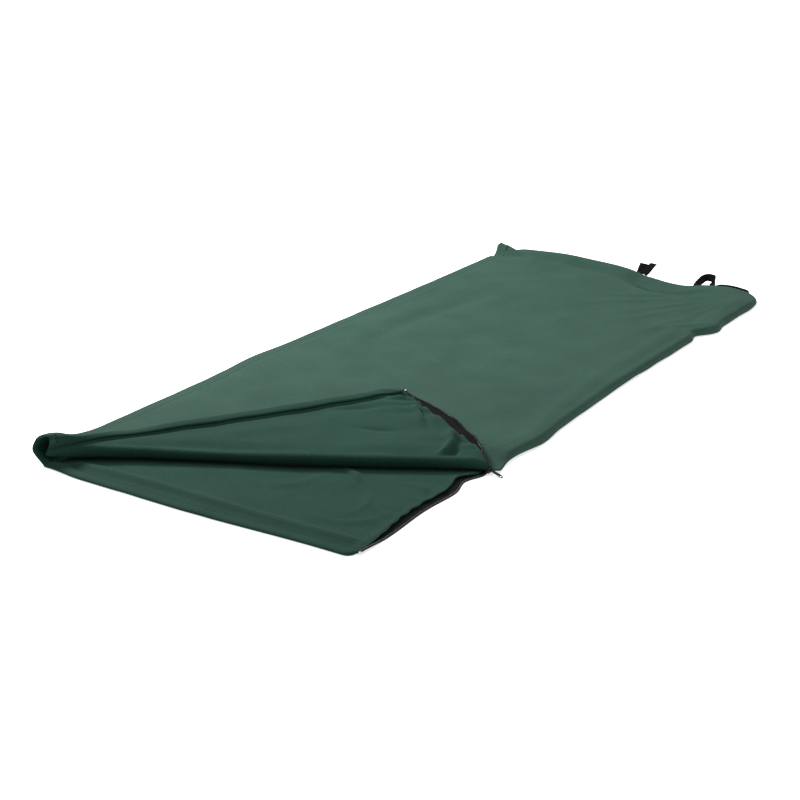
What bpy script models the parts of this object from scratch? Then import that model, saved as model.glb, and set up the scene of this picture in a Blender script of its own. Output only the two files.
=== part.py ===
"""Zip-up fleece camp blanket, lying flat with its zip part open and one corner of the top layer folded back.

One fleece panel is doubled along the far long side, so it makes two layers.  A zip closes the near long side
and the foot end.  The head end is open and hemmed.  Metres, +Z up; the origin is in the middle of the
underside, +X runs from the head end to the foot end, and the zip side is at -Y.
"""
import bpy
import bmesh
from math import asin, cos, pi, radians, sin

from mathutils import Matrix, Vector

# ---------------------------------------------------------------- driving dimensions
LENGTH = 1.800              # head end to foot end
WIDTH = 0.770               # folded side to zip side
LOFT = 0.020                # outer height of the two layers lying together
CLOTH = 0.003               # fleece thickness
GAP = 0.0003                # clearance between pieces that touch
HEM_WIDTH = 0.022           # turned band at the head end
HEM_INSET = 0.0006          # the turned band stops this far inside the panel's edge
FOOT_RADIUS = 0.050         # rounded corner between the zip side and the foot end

OPEN_LENGTH = 0.455         # open stretch of the zip, from the head end to the slider
ROLL_RADIUS = 0.007         # mid-line radius of the roll where the corner turns over
TIP_CUT = 0.070             # the folded corner's narrow end stops this far from the head end's far corner
ROLL_END = 0.004            # and its wide end this far from the zip

FOLD_LIFT = 0.0005          # the side fold hangs clear of the floor by this much
HEAD_LOOP_HEIGHT = 0.055    # how far the side fold stands up at the head end
HEAD_LOOP_BULGE = 0.020
HEAD_LOOP_WIDTH = 0.022
HEAD_LOOP_LENGTH = 0.300
FOOT_EAR_HEIGHT = 0.020     # and at the foot end
FOOT_EAR_LENGTH = 0.070

TAPE = 0.0012               # zip tape thickness
TAPE_MARGIN = 0.0008        # tape edge to the blanket's lower and upper faces
CHAIN = 0.0024              # coil thickness, across the tape
CHAIN_WIDTH = 0.0016        # height of one half of the coil
ZIP_START = 0.016           # head end to the first tooth
ZIP_END = 0.030             # folded side to the last tooth, along the foot end
STOP_LENGTH = 0.0035
STOP = 0.0036               # stop thickness, across the tape
END_STOP_GAP = 0.0006

SLIDER_LENGTH = 0.016
SLIDER_PLATE = 0.0014
SLIDER_HEIGHT = 0.0104
SLIDER_WEB = 0.001          # the divider between the two halves of the coil
SLIDER_LIP = 0.001
SLIDER_EDGE = 0.0002
BRIDGE_WIRE = 0.0008        # radius
BRIDGE_REACH = 0.0026       # slider face to the middle of the bridge
BRIDGE_LENGTH = 0.013
BRIDGE_BEND = 0.0009
PULL_BORE = 0.0011          # radius of the tab's curled eye, inside and outside
PULL_EYE = 0.0020
PULL_EYE_LENGTH = 0.005
PULL_LENGTH = 0.028         # eye to tip
PULL_WIDTH = 0.008
PULL_THICKNESS = 0.0014
PULL_HOLE = 0.0016          # radius
PULL_HOLE_INSET = 0.005     # tip to the middle of the hole
FLOOR_CLEARANCE = 0.0004

LOOP_WEBBING = 0.0015       # thickness of the webbing
LOOP_WIDTH = 0.025
FLAT_LOOP_LENGTH = 0.062
FLAT_LOOP_Y = -0.040        # middle of the flattened loop
FLAT_LOOP_RISE = radians(14)
OPEN_LOOP_LENGTH = 0.058
OPEN_LOOP_OPENING = 0.015
OPEN_LOOP_Y = -0.215
OPEN_LOOP_RISE = radians(5)

ARC_STEPS = 8               # straight pieces in a rounded corner
ROUND_STEPS = 24            # and in a full circle
FOLD_COLUMNS = 36           # strips along the side fold
FOLD_ROWS = 14              # strips round it

# ---------------------------------------------------------------- lines that pieces share
HEAD_X = -LENGTH / 2
FOOT_X = LENGTH / 2
ZIP_Y = -WIDTH / 2
FAR_Y = WIDTH / 2
MIDDLE_Z = LOFT / 2
EDGE_INSET = TAPE / 2 + GAP                      # panel edge to the middle of the zip tape
FOLD_Y = FAR_Y - LOFT / 2                        # where the side fold leaves the flat panels
FOLD_RADIUS = MIDDLE_Z - CLOTH / 2 - FOLD_LIFT   # its mid-line radius
COVER_AXIS_Y = FOLD_Y + pi * FOLD_RADIUS / 2     # opens with no cloth gained or lost

CREASE_START = Vector((HEAD_X, FAR_Y, 0))
CREASE_END = Vector((HEAD_X + OPEN_LENGTH, ZIP_Y, 0))
CREASE_LENGTH = (CREASE_END - CREASE_START).length
CREASE = (CREASE_END - CREASE_START).normalized()
ACROSS = Vector((-CREASE.y, CREASE.x, 0))        # from the crease towards the foot end
ROLL_OFFSET = pi * ROLL_RADIUS / 2               # crease line to the ends of the roll's cloth
CORNER_AXIS_Z = LOFT - CLOTH / 2 + ROLL_RADIUS
FLAP_INSET = ROLL_OFFSET + GAP

# heights of the zip's pieces, from the floor up
LOWER_CHAIN_TOP = MIDDLE_Z - SLIDER_WEB / 2 - GAP
LOWER_TAPE_TOP = LOWER_CHAIN_TOP - CHAIN_WIDTH - GAP
UPPER_CHAIN_LOW = MIDDLE_Z + SLIDER_WEB / 2 + GAP
UPPER_TAPE_LOW = UPPER_CHAIN_LOW + CHAIN_WIDTH + GAP
SLIDER_X = CREASE_END.x
SLIDER_CLEAR = SLIDER_LENGTH / 2 + FLAP_INSET / ACROSS.x - ROLL_OFFSET / 2
FACE = CHAIN / 2 + GAP + SLIDER_PLATE            # zip mid-plane to the slider's outer face
PULL_AXIS = Vector((SLIDER_X, ZIP_Y - FACE - BRIDGE_REACH, MIDDLE_Z))

OPEN_LOOP_HALF = OPEN_LOOP_LENGTH / 2
OPEN_LOOP_RISER = OPEN_LOOP_OPENING / 2 + LOOP_WEBBING
OPEN_LOOP_ROOT = OPEN_LOOP_RISER ** 2 / OPEN_LOOP_HALF   # radius of the oval's end

GREEN = (0.061, 0.122, 0.093)
GREEN_INSIDE = (0.036, 0.087, 0.067)
BLACK = (0.010, 0.010, 0.010)
CHARCOAL = (0.020, 0.021, 0.021)
GUNMETAL = (0.030, 0.030, 0.032)
NICKEL = (0.550, 0.550, 0.540)


# ---------------------------------------------------------------- helpers
def clear_scene():
    for item in list(bpy.data.objects):
        bpy.data.objects.remove(item, do_unlink=True)


def new_collection(name):
    made = bpy.data.collections.new(name)
    bpy.context.scene.collection.children.link(made)
    return made


def material(name, colour, roughness, metallic=0.0):
    made = bpy.data.materials.new(name)
    made.use_nodes = True
    shader = made.node_tree.nodes["Principled BSDF"]
    shader.inputs["Base Color"].default_value = (*colour, 1.0)
    shader.inputs["Roughness"].default_value = roughness
    shader.inputs["Metallic"].default_value = metallic
    return made


class Joint:
    """An empty on a joint's axis.  Its pieces are drawn around frame and then turned with the empty by turn."""

    def __init__(self, name, frame, turn=0.0):
        self.frame = frame
        self.empty = bpy.data.objects.new(name, None)
        PIECES.objects.link(self.empty)
        self.empty.matrix_world = frame @ Matrix.Rotation(turn, 4, "X")


def finish(made, look, joint=None):
    """Give a piece drawn in world space its material, and hang it on its joint."""
    made.data.materials.append(look)
    if joint:
        made.data.transform(joint.frame.inverted())
        made.parent = joint.empty
    return made


def object_from_bmesh(name, shape, collection=None):
    mesh = bpy.data.meshes.new(name)
    shape.to_mesh(mesh)
    shape.free()
    made = bpy.data.objects.new(name, mesh)
    (collection or PIECES).objects.link(made)
    return made


def extruded(name, outlines, thickness, frame, collection=None):
    """A flat outline, with holes, extruded by thickness along the frame's Z, which passes through its middle."""
    curve = bpy.data.curves.new(name, "CURVE")
    curve.dimensions = "2D"
    curve.fill_mode = "BOTH"
    curve.extrude = thickness / 2
    for outline in outlines:
        spline = curve.splines.new("POLY")
        spline.points.add(len(outline) - 1)
        for point, (x, y) in zip(spline.points, outline):
            point.co = (x, y, 0, 1)
        spline.use_cyclic_u = True
    guide = bpy.data.objects.new(name + "_outline", curve)
    GUIDES.objects.link(guide)
    mesh = bpy.data.meshes.new_from_object(guide.evaluated_get(bpy.context.evaluated_depsgraph_get()))
    bpy.data.objects.remove(guide, do_unlink=True)
    shape = bmesh.new()
    shape.from_mesh(mesh)
    bpy.data.meshes.remove(mesh)
    bmesh.ops.remove_doubles(shape, verts=shape.verts, dist=1e-6)
    bmesh.ops.transform(shape, matrix=frame, verts=shape.verts)
    return object_from_bmesh(name, shape, collection)


def slab(name, outline, low, high, collection=None):
    """A plan outline as a flat sheet between two heights."""
    frame = Matrix.Translation((0, 0, (low + high) / 2))
    return extruded(name, [outline], high - low, frame, collection)


def boolean(target, tool, operation):
    tool.hide_render = True
    tool.display_type = "WIRE"
    modifier = target.modifiers.new(operation.lower() + "_" + tool.name, "BOOLEAN")
    modifier.operation = operation
    modifier.solver = "EXACT"
    modifier.object = tool


def arc(centre, radius, start, end, steps=ARC_STEPS):
    angles = [start + (end - start) * i / steps for i in range(steps + 1)]
    return [(centre[0] + radius * cos(a), centre[1] + radius * sin(a)) for a in angles]


def circle(centre, radius):
    return arc(centre, radius, 0, 2 * pi, ROUND_STEPS)[:-1]


def beside_crease(along, across):
    """The plan point at a distance along the crease from the far corner, and across it towards the foot."""
    point = CREASE_START + CREASE * along + ACROSS * across
    return (point.x, point.y)


def crease_meets_y(across, y):
    """Where the line beside the crease crosses a line along X."""
    along = (CREASE_START.y + ACROSS.y * across - y) / -CREASE.y
    return beside_crease(along, across)


def cut_meets_x(along, x):
    """Where the line square to the crease crosses a line along Y."""
    across = (x - CREASE_START.x - CREASE.x * along) / ACROSS.x
    return beside_crease(along, across)


def bent_sheet(name, columns, rows, place):
    """A sheet of one cloth's thickness whose mid-surface is place(u, v), with u and v from 0 to 1."""
    shape = bmesh.new()
    bmesh.ops.create_grid(shape, x_segments=columns, y_segments=rows, size=0.5)
    for vertex in shape.verts:
        vertex.co = place(vertex.co.x + 0.5, vertex.co.y + 0.5)
    made = object_from_bmesh(name, shape)
    solid = made.modifiers.new("cloth_thickness", "SOLIDIFY")
    solid.thickness = CLOTH
    solid.offset = 0
    solid.use_even_offset = True
    made.data.shade_smooth()
    return made


# ---------------------------------------------------------------- fleece
def bottom_panel():
    foot = FOOT_X - EDGE_INSET
    near = ZIP_Y + EDGE_INSET
    centre = (FOOT_X - FOOT_RADIUS, ZIP_Y + FOOT_RADIUS)
    corner = arc(centre, FOOT_RADIUS - EDGE_INSET, -pi / 2, 0)
    far = FOLD_Y - GAP
    outline = [(HEAD_X, near), *corner, (foot, far), (HEAD_X, far)]
    made = slab("bottom_panel", outline, 0, CLOTH)
    low, high = HEAD_X + HEM_INSET, HEAD_X + HEM_WIDTH
    side = ZIP_Y + FACE + GAP        # clear of the slider at the end of its run
    hem = [(low, side), (high, side), (high, far - HEM_INSET), (low, far - HEM_INSET)]
    boolean(made, slab("bottom_hem", hem, CLOTH / 2, 2 * CLOTH, GUIDES), "UNION")
    return finish(made, LOOKS["fleece"])


def top_panel():
    foot = FOOT_X - EDGE_INSET
    near = ZIP_Y + EDGE_INSET
    far = FOLD_Y - GAP
    centre = (FOOT_X - FOOT_RADIUS, ZIP_Y + FOOT_RADIUS)
    corner = arc(centre, FOOT_RADIUS - EDGE_INSET, -pi / 2, 0)
    outline = [crease_meets_y(FLAP_INSET, near), *corner, (foot, far), crease_meets_y(FLAP_INSET, far)]
    return finish(slab("top_panel", outline, LOFT - CLOTH, LOFT), LOOKS["fleece"], COVER)


def side_fold():
    """The doubled edge along the far side, which stands up in a loop at the head end and an ear at the foot."""
    end_x = FOOT_X - EDGE_INSET

    def rise(x):
        head = max(0.0, 1 - (x - HEAD_X) / HEAD_LOOP_LENGTH)
        foot = max(0.0, 1 - (end_x - x) / FOOT_EAR_LENGTH)
        return head * head * (3 - 2 * head), foot * foot * (3 - 2 * foot)

    def place(u, v):
        x = HEAD_X + (end_x - HEAD_X) * (1 - cos(pi * u)) / 2
        head, foot = rise(x)
        angle = pi * (1 - cos(pi * v)) / 2
        out = sin(angle)
        lean = sin(2 * angle) * out * out
        y = FOLD_Y + (FOLD_RADIUS + HEAD_LOOP_BULGE * head) * out + HEAD_LOOP_WIDTH * head * lean
        z = MIDDLE_Z - FOLD_RADIUS * cos(angle)
        z += (HEAD_LOOP_HEIGHT * head + FOOT_EAR_HEIGHT * foot) * out * out
        return Vector((x, y, z))

    return finish(bent_sheet("side_fold", FOLD_COLUMNS, FOLD_ROWS, place), LOOKS["fleece"])


def corner_roll():
    """The rounded crease along which the corner of the top layer turns over."""
    def place(u, v):
        along = TIP_CUT + (CREASE_LENGTH - ROLL_END - TIP_CUT) * u
        across = ROLL_OFFSET - ROLL_RADIUS * sin(pi * v)
        x, y = beside_crease(along, across)
        return Vector((x, y, CORNER_AXIS_Z - ROLL_RADIUS * cos(pi * v)))

    return finish(bent_sheet("corner_roll", 1, FOLD_ROWS, place), LOOKS["fleece_inside"], COVER)


def corner_flap():
    """The top layer's near corner with its hem, shaped zipped shut and then turned over the crease."""
    near = ZIP_Y + EDGE_INSET
    tip = cut_meets_x(TIP_CUT, HEAD_X)
    outline = [(HEAD_X, near), crease_meets_y(-FLAP_INSET, near), beside_crease(TIP_CUT, -FLAP_INSET), tip]
    made = slab("corner_flap", outline, LOFT - CLOTH, LOFT)
    low, high = HEAD_X + HEM_INSET, HEAD_X + HEM_WIDTH
    cut = TIP_CUT + HEM_INSET
    side = ZIP_Y + FACE + GAP        # clear of the slider at the end of its run
    hem = [(low, side), (high, side), cut_meets_x(cut, high), cut_meets_x(cut, low)]
    band = slab("corner_hem", hem, LOFT - 2 * CLOTH, LOFT - CLOTH / 2, GUIDES)
    boolean(made, finish(band, LOOKS["fleece_inside"], CORNER), "UNION")
    return finish(made, LOOKS["fleece_inside"], CORNER)


# ---------------------------------------------------------------- zip
def along_zip(start_x, half):
    """Plan outline of a strip along the zip side, round the corner and up the foot end."""
    centre = (FOOT_X - FOOT_RADIUS, ZIP_Y + FOOT_RADIUS)
    end_y = FAR_Y - ZIP_END
    outer = arc(centre, FOOT_RADIUS + half, -pi / 2, 0)
    inner = arc(centre, FOOT_RADIUS - half, 0, -pi / 2)
    end = [(FOOT_X + half, end_y), (FOOT_X - half, end_y)]
    return [(start_x, ZIP_Y - half), *outer, *end, *inner, (start_x, ZIP_Y + half)]


def straight_strip(start_x, end_x, half):
    return [(start_x, ZIP_Y - half), (end_x, ZIP_Y - half), (end_x, ZIP_Y + half), (start_x, ZIP_Y + half)]


def zip_strips():
    head = HEAD_X + ZIP_START
    lower_tape = (TAPE_MARGIN, LOWER_TAPE_TOP)
    upper_tape = (UPPER_TAPE_LOW, LOFT - TAPE_MARGIN)
    lower_chain = (LOWER_CHAIN_TOP - CHAIN_WIDTH, LOWER_CHAIN_TOP)
    upper_chain = (UPPER_CHAIN_LOW, UPPER_CHAIN_LOW + CHAIN_WIDTH)
    finish(slab("lower_tape", along_zip(head, TAPE / 2), *lower_tape), LOOKS["tape"])
    finish(slab("lower_chain", along_zip(head, CHAIN / 2), *lower_chain), LOOKS["coil"])
    closed = SLIDER_X + SLIDER_CLEAR
    finish(slab("upper_tape", along_zip(closed, TAPE / 2), *upper_tape), LOOKS["tape"], COVER)
    finish(slab("upper_chain", along_zip(closed, CHAIN / 2), *upper_chain), LOOKS["coil"], COVER)
    free = SLIDER_X - SLIDER_CLEAR
    strip = slab("flap_tape", straight_strip(head, free, TAPE / 2), *upper_tape)
    finish(strip, LOOKS["tape"], CORNER)
    strip = slab("flap_chain", straight_strip(head, free, CHAIN / 2), *upper_chain)
    finish(strip, LOOKS["coil"], CORNER)


def zip_stops():
    end = HEAD_X + ZIP_START - GAP
    outline = straight_strip(end - STOP_LENGTH, end, STOP / 2)
    lower = slab("lower_top_stop", outline, LOWER_CHAIN_TOP - CHAIN_WIDTH, LOWER_CHAIN_TOP)
    finish(lower, LOOKS["nickel"])
    upper = slab("upper_top_stop", outline, UPPER_CHAIN_LOW, UPPER_CHAIN_LOW + CHAIN_WIDTH)
    finish(upper, LOOKS["nickel"], CORNER)
    low = FAR_Y - ZIP_END + END_STOP_GAP
    high = low + STOP_LENGTH
    left, right = FOOT_X - STOP / 2, FOOT_X + STOP / 2
    outline = [(left, low), (right, low), (right, high), (left, high)]
    finish(slab("end_stop", outline, LOWER_CHAIN_TOP - CHAIN_WIDTH, UPPER_CHAIN_LOW + CHAIN_WIDTH), LOOKS["nickel"])


def mirrored(points):
    """The same points on the other side of X = 0, in the order that carries an outline on."""
    return [(-x, y) for x, y in reversed(points)]


def slider_body():
    """Two plates joined by the divider between the coils, with lips that hold the lower coil."""
    inner = FACE - SLIDER_PLATE
    lip = TAPE / 2 + GAP
    low, high = -SLIDER_HEIGHT / 2, SLIDER_HEIGHT / 2
    web = SLIDER_WEB / 2
    upper = [(FACE, low), (FACE, high), (inner, high), (inner, web)]
    lower = [(inner, -web), (inner, low + SLIDER_LIP), (lip, low + SLIDER_LIP), (lip, low)]
    outline = [*upper, *mirrored(upper), *mirrored(lower), *lower]
    frame = Matrix.Translation((SLIDER_X, ZIP_Y, MIDDLE_Z)) @ FACING_X
    made = extruded("slider_body", [outline], SLIDER_LENGTH, frame)
    bevel = made.modifiers.new("broken_edges", "BEVEL")
    bevel.width = SLIDER_EDGE
    bevel.segments = 1
    return finish(made, LOOKS["gunmetal"], SLIDER)


def slider_bridge():
    """The wire arch on the slider's outer face that holds the pull tab."""
    foot_y = ZIP_Y - FACE - GAP
    half = BRIDGE_LENGTH / 2
    side = [(half, foot_y), (half, PULL_AXIS.y + BRIDGE_BEND), (half - BRIDGE_BEND, PULL_AXIS.y)]
    curve = bpy.data.curves.new("slider_bridge", "CURVE")
    curve.dimensions = "3D"
    curve.bevel_depth = BRIDGE_WIRE
    curve.bevel_resolution = 2
    curve.use_fill_caps = True
    spline = curve.splines.new("POLY")
    route = [*side, *mirrored(side)]
    spline.points.add(len(route) - 1)
    for point, (x, y) in zip(spline.points, route):
        point.co = (SLIDER_X + x, y, MIDDLE_Z, 1)
    made = bpy.data.objects.new("slider_bridge", curve)
    PIECES.objects.link(made)
    made.data.materials.append(LOOKS["gunmetal"])
    made.data.transform(SLIDER.frame.inverted())
    made.parent = SLIDER.empty
    return made


def rod(name, radius, length, frame):
    """A cylinder along the frame's X."""
    shape = bmesh.new()
    along_x = frame @ Matrix.Rotation(pi / 2, 4, "Y")
    bmesh.ops.create_cone(shape, cap_ends=True, segments=ROUND_STEPS, radius1=radius, radius2=radius,
                          depth=length, matrix=along_x)
    return object_from_bmesh(name, shape, GUIDES)


def pull_tab():
    """A flat tab with a hole near its tip, curled into an eye round the bridge."""
    half = PULL_WIDTH / 2
    root = -(PULL_BORE + GAP)
    shoulder = root - PULL_WIDTH / 2
    tip = arc((0, half - PULL_LENGTH), half, -pi, 0)
    outline = [(-PULL_EYE_LENGTH / 2, root), (-half, shoulder), *tip, (half, shoulder), (PULL_EYE_LENGTH / 2, root)]
    hole = circle((0, PULL_HOLE_INSET - PULL_LENGTH), PULL_HOLE)
    made = extruded("pull_tab", [outline, hole], PULL_THICKNESS, PULL.frame)
    eye = rod("pull_eye", PULL_EYE, PULL_EYE_LENGTH, PULL.frame)
    bore = rod("pull_bore", PULL_BORE, 2 * PULL_EYE_LENGTH, PULL.frame)
    boolean(made, finish(eye, LOOKS["gunmetal"], PULL), "UNION")
    boolean(made, finish(bore, LOOKS["gunmetal"], PULL), "DIFFERENCE")
    return finish(made, LOOKS["gunmetal"], PULL)


# ---------------------------------------------------------------- webbing loops at the foot end
def flat_loop():
    """A webbing loop pressed flat, its two layers lying together."""
    end = FLAT_LOOP_LENGTH - 2 * LOOP_WEBBING
    outline = [*arc((0, 0), LOOP_WEBBING, pi / 2, 3 * pi / 2), *arc((end, 0), LOOP_WEBBING, -pi / 2, pi / 2)]
    made = extruded("foot_loop_flat", [outline], LOOP_WIDTH, FLAT_LOOP.frame @ FACING_BACK)
    return finish(made, LOOKS["webbing"], FLAT_LOOP)


def open_loop():
    """A webbing loop that stands open."""
    centre = OPEN_LOOP_HALF - OPEN_LOOP_ROOT
    round_about = [2 * pi * i / ROUND_STEPS for i in range(ROUND_STEPS)]

    def oval(inset):
        long, short = OPEN_LOOP_HALF - inset, OPEN_LOOP_RISER - inset
        return [(centre + long * cos(a), short * sin(a)) for a in round_about]

    frame = OPEN_LOOP.frame @ FACING_BACK
    made = extruded("foot_loop_open", [oval(0), oval(LOOP_WEBBING)], LOOP_WIDTH, frame)
    return finish(made, LOOKS["webbing"], OPEN_LOOP)


# ---------------------------------------------------------------- the model
def facing(x_axis, y_axis, z_axis):
    return Matrix((x_axis, y_axis, z_axis)).transposed().to_4x4()


clear_scene()
PIECES = new_collection("camp_blanket")
GUIDES = new_collection("cutters")
LOOKS = {
    "fleece": material("fleece", GREEN, 0.95),
    "fleece_inside": material("fleece_inside", GREEN_INSIDE, 0.95),
    "tape": material("zip_tape", CHARCOAL, 0.85),
    "coil": material("zip_coil", BLACK, 0.45),
    "webbing": material("webbing", BLACK, 0.75),
    "gunmetal": material("gunmetal", GUNMETAL, 0.35, 0.8),
    "nickel": material("nickel", NICKEL, 0.30, 1.0),
}

FACING_X = facing((0, 1, 0), (0, 0, 1), (1, 0, 0))       # an outline standing across X
FACING_BACK = facing((1, 0, 0), (0, 0, 1), (0, -1, 0))   # an outline standing along X

COVER = Joint("cover_axis", Matrix.Translation((0, COVER_AXIS_Y, MIDDLE_Z)))
crease_frame = facing(CREASE, ACROSS, (0, 0, 1))
crease_frame.translation = (*CREASE_START.xy, CORNER_AXIS_Z)
CORNER = Joint("corner_axis", crease_frame, pi)
SLIDER = Joint("slider_axis", Matrix.Translation((SLIDER_X, ZIP_Y, MIDDLE_Z)))
pull_drop = asin((MIDDLE_Z - FLOOR_CLEARANCE - PULL_THICKNESS / 2) / PULL_LENGTH)
PULL = Joint("pull_axis", Matrix.Translation(PULL_AXIS), pull_drop)
loop_root_x = FOOT_X + CHAIN / 2 + GAP
flat_root = (loop_root_x + LOOP_WEBBING, FLAT_LOOP_Y, MIDDLE_Z)
FLAT_LOOP = Joint("flat_loop_axis", Matrix.Translation(flat_root) @ Matrix.Rotation(-FLAT_LOOP_RISE, 4, "Y"))
open_root = (loop_root_x + OPEN_LOOP_ROOT, OPEN_LOOP_Y, MIDDLE_Z)
OPEN_LOOP = Joint("open_loop_axis", Matrix.Translation(open_root) @ Matrix.Rotation(-OPEN_LOOP_RISE, 4, "Y"))

bottom_panel()
side_fold()
top_panel()
corner_roll()
corner_flap()
zip_strips()
zip_stops()
slider_body()
slider_bridge()
pull_tab()
flat_loop()
open_loop()
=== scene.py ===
import math

import bmesh
import bpy
import numpy as np
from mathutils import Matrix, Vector


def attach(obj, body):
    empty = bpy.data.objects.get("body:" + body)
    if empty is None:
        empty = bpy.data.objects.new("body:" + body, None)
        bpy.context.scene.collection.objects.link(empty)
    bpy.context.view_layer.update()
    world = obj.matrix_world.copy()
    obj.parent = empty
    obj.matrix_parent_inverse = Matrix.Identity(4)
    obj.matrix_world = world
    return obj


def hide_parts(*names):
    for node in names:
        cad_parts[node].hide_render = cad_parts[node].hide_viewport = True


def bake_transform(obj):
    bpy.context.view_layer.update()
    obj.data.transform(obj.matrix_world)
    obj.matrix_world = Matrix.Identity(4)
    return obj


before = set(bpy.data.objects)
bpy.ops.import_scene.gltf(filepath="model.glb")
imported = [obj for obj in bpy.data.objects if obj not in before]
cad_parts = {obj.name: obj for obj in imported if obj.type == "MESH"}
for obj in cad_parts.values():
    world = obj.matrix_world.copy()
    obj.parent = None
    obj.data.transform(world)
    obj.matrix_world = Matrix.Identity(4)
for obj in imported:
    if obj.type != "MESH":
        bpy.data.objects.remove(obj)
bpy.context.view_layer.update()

# A zipped camp blanket lies flat, folded once along its far side. The near corner of the upper layer is
# turned back over a soft diagonal crease. Everything is in metres: +X runs from the open head end to the
# foot, and -Y is the zip side.

HEAD, FOOT, NEAR, FAR = -0.9, 0.9, -0.385, 0.385
OPEN_END = -0.445  # the zip is open from the head to here, where the slider is
CLOTH = 0.003
SKIN = CLOTH / 2
FLOOR_LAYER = SKIN + 0.0002  # middle of the lower layer
TOP_LAYER = 0.0195  # middle of the upper layer
HEM = 0.023
HEM_ROW = HEM - 0.0035  # the hem's stitches, from the edge
HEM_FACE = 0.0050  # the hem's own face, off the middle of the cloth
FOOT_RADIUS = 0.05
JOIN = 0.36  # the pieces of the far fold begin here
LOOP_RISE = 0.041  # the far fold stands open this much more at the head end

# The crease of the turned corner, from the far head corner to the slider.
CREASE_START = np.array([HEAD, FAR])
_run = np.array([OPEN_END - HEAD, NEAR - FAR])
CREASE = float(np.hypot(*_run))
ALONG = _run / CREASE
ACROSS = np.array([-ALONG[1], ALONG[0]])  # towards the foot
CORNER_OUT = float(-(np.array([HEAD, NEAR]) - CREASE_START) @ ACROSS)
CORNER_ALONG = float((np.array([HEAD, NEAR]) - CREASE_START) @ ALONG)
SLANT = CORNER_OUT / CORNER_ALONG  # of the head edge to the crease
END_SLANT = (CREASE - CORNER_ALONG) / CORNER_OUT  # of the zip edge to the crease's normal

ROLL_ARC = 0.019  # cloth from the front of the roll to its crest
ROLL_STRIP = 0.105  # the upper layer beside the crease that belongs to the roll
CUT = 0.100  # the upper layer's own piece begins this far from the crease
TIP_CLOTH = 0.038  # cloth of the turned corner at the far head corner
CORNER_LEVEL = 0.0325  # middle of the turned corner away from its edges
HINGE_FAR = (0.387566, 0.01)
CREASE_AXIS_Z = 0.0255
COVER_TURN = math.radians(165)
LAID_FLAT = 0.0150  # the turned corner's height once it is unfolded
CURL = 0.012  # radius of the upper layer's rolled edge
CURL_TURN = 1.75
CURL_FOOT = 0.0052  # middle of the cloth under the roll
RIM = CURL - CURL * CURL_TURN  # the upper layer's cloth ends this far past the sewn outline


# ---------------------------------------------------------------- small curves

def smooth(x):
    x = np.clip(x, 0.0, 1.0)
    return x * x * (3 - 2 * x)


def bump(x, at, wide):
    return np.exp(-(((x - at) / wide) ** 2))


def unit(v):
    """Each row of v at length 1."""
    return v / np.maximum(np.linalg.norm(v, axis=-1, keepdims=True), 1e-12)


def through(x, *stops):
    """A smooth curve through a few stops, with no overshoot between them."""
    xs, ys = np.array(stops, float).T
    step = np.diff(xs)
    rise = np.diff(ys) / step
    slope = np.zeros(len(xs))
    same = rise[:-1] * rise[1:] > 0
    slope[1:-1][same] = 2 * rise[:-1][same] * rise[1:][same] / (rise[:-1][same] + rise[1:][same])
    slope[0], slope[-1] = rise[0], rise[-1]
    x = np.clip(np.asarray(x, float), xs[0], xs[-1])
    i = np.clip(np.searchsorted(xs, x) - 1, 0, len(step) - 1)
    t = (x - xs[i]) / step[i]
    a, b = ys[i], ys[i + 1]
    p, q = slope[i] * step[i], slope[i + 1] * step[i]
    return a + t * (p + t * (3 * (b - a) - 2 * p - q + t * (2 * (a - b) + p + q)))


def ripples(x, y, size, seed):
    """Soft waves of about this wavelength that never repeat."""
    rng = np.random.default_rng(seed)
    total = 0.0
    for _ in range(10):
        turn = rng.uniform(0, math.pi)
        k = 2 * math.pi / size * rng.uniform(0.6, 1.5)
        phase = rng.uniform(0, 6.28)
        total = total + np.sin(k * (x * math.cos(turn) + y * math.sin(turn)) + phase)
    return total / 10 ** 0.5


# ---------------------------------------------------------------- the cloth's shape

def near_wave(x):
    """How far the near edge bows in from its straight line."""
    return (0.009 * bump(x, -0.66, 0.09) + 0.018 * bump(x, -0.505, 0.038) + 0.012 * bump(x, -0.405, 0.024)
            - 0.012 * bump(x, -0.25, 0.075)
            + 0.011 * smooth((x + 0.15) / 0.3) * (1 - smooth((x - 0.45) / 0.15))
            + 0.017 * bump(x, 0.535, 0.028) - 0.010 * bump(x, 0.60, 0.03) - 0.003 * bump(x, 0.72, 0.07)
            - 0.004 * bump(x, 0.80, 0.035) + 0.007 * bump(x, 0.88, 0.03))


def foot_wave(y):
    return 0.016 * bump(y, -0.15, 0.055) - 0.003 * bump(y, 0.19, 0.07) - 0.004 * bump(y, -0.285, 0.03)


def head_wave(x, y):
    """How far the lower layer's head edge bows out."""
    across = smooth((y + 0.33) / 0.35) * (1 - 0.55 * smooth((y - 0.26) / 0.10))
    return 0.014 * across * (1 - smooth((x - HEAD) / 0.25))


def far_wave(x):
    return 0.010 * bump(x, -0.21, 0.09) - 0.017 * smooth((x + 0.15) / 0.9)


def shifted(x, y):
    """Plan position of a point of either layer, with the outline's slow waves."""
    px = x - foot_wave(y) * (1 - smooth((FOOT - x) / 0.16))
    py = y + near_wave(x) * (1 - smooth((y - NEAR) / 0.20)) + far_wave(x) * (1 - smooth((FAR - y) / 0.25))
    return px, py


def inset(x, y):
    """Distance inside the zipped outline, and the direction straight out of it."""
    near, foot = y - NEAR, FOOT - x
    cx, cy = x - (FOOT - FOOT_RADIUS), (NEAR + FOOT_RADIUS) - y
    corner = (cx > 0) & (cy > 0)
    r = np.maximum(np.hypot(cx, cy), 1e-9)
    e = np.where(corner, FOOT_RADIUS - r, np.minimum(near, foot))
    dx = np.where(corner, cx / r, np.where(foot < near, 1.0, 0.0))
    dy = np.where(corner, -cy / r, np.where(foot < near, 0.0, -1.0))
    return e, dx, dy


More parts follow.
